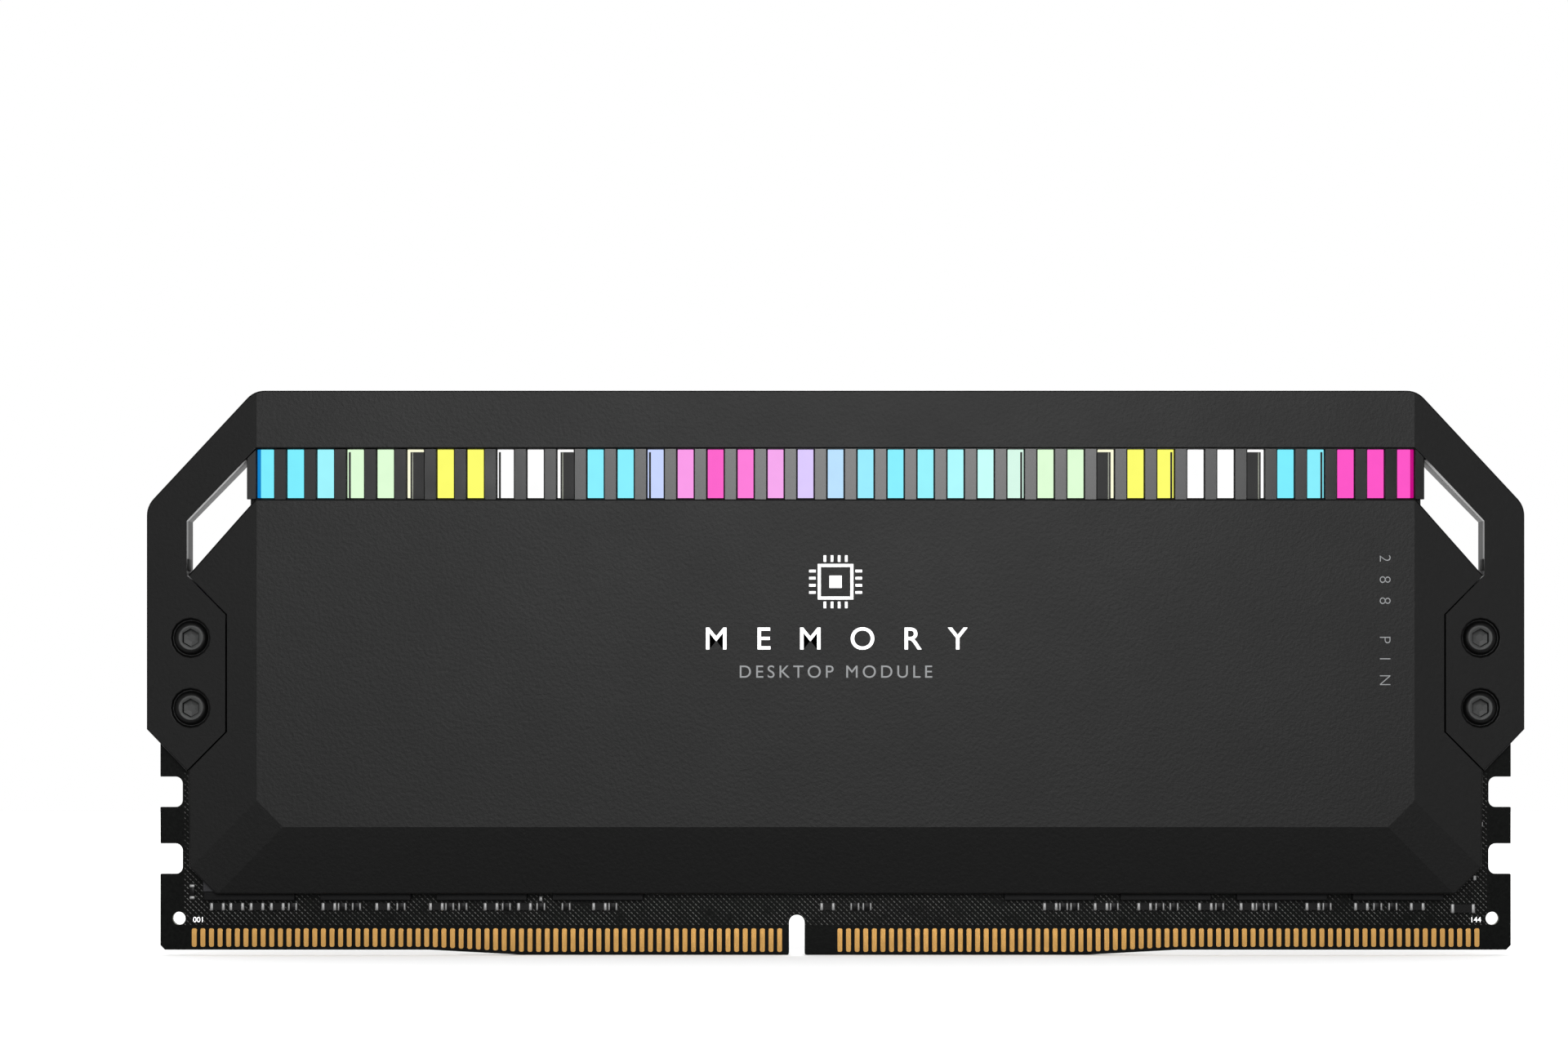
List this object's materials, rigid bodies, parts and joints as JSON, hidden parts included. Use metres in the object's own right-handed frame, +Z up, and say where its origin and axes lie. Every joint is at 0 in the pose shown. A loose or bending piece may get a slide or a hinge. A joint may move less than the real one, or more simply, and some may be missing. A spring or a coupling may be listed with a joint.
{
  "type": "memory module",
  "caption": "Desktop memory module with a black two-piece aluminium heat spreader, an arched top frame and a lit strip behind dark fins.",
  "frame": {"origin": "middle of the card edge, on its lowest face and on the mid-plane of the circuit board", "axes": "+X along the card, +Y towards the rear face, +Z up from the card edge; the front face looks along -Y"},
  "size_m": [0.1356, 0.008, 0.0556],
  "materials": {
    "shell": "matte",
    "grille": "satin",
    "diffuser": "satin",
    "board": "satin",
    "gold": "satin",
    "chip": "matte",
    "thermal_pad": "matte",
    "inductor": "matte",
    "led": "satin",
    "connector": "satin",
    "ribbon": "satin",
    "screw": "satin"
  },
  "bodies": {
    "root": {"circuit_board": "board", "front_contacts_left": "gold", "front_contacts_right": "gold", "front_frame": "shell", "front_grille": "grille", "front_screw_left_lower": "screw", "front_screw_left_upper": "screw", "front_screw_right_lower": "screw", "front_screw_right_upper": "screw", "front_spreader": "shell", "hub_chip": "chip", "inductor_1": "inductor", "inductor_2": "inductor", "inductor_3": "inductor", "led_1": "led", "led_10": "led", "led_11": "led", "led_12": "led", "led_2": "led", "led_3": "led", "led_4": "led", "led_5": "led", "led_6": "led", "led_7": "led", "led_8": "led", "led_9": "led", "light_board": "board", "light_connector": "connector", "light_diffuser": "diffuser", "light_ribbon": "ribbon", "memory_chip_1": "chip", "memory_chip_2": "chip", "memory_chip_3": "chip", "memory_chip_4": "chip", "memory_chip_5": "chip", "memory_chip_6": "chip", "memory_chip_7": "chip", "memory_chip_8": "chip", "power_regulator": "chip", "rear_contacts_left": "gold", "rear_contacts_right": "gold", "rear_frame": "shell", "rear_grille": "grille", "rear_screw_left_lower": "screw", "rear_screw_left_upper": "screw", "rear_screw_right_lower": "screw", "rear_screw_right_upper": "screw", "rear_spreader": "shell", "thermal_pad_left": "thermal_pad", "thermal_pad_rear": "thermal_pad", "thermal_pad_regulator": "thermal_pad", "thermal_pad_right": "thermal_pad"}
  },
  "joints": []
}
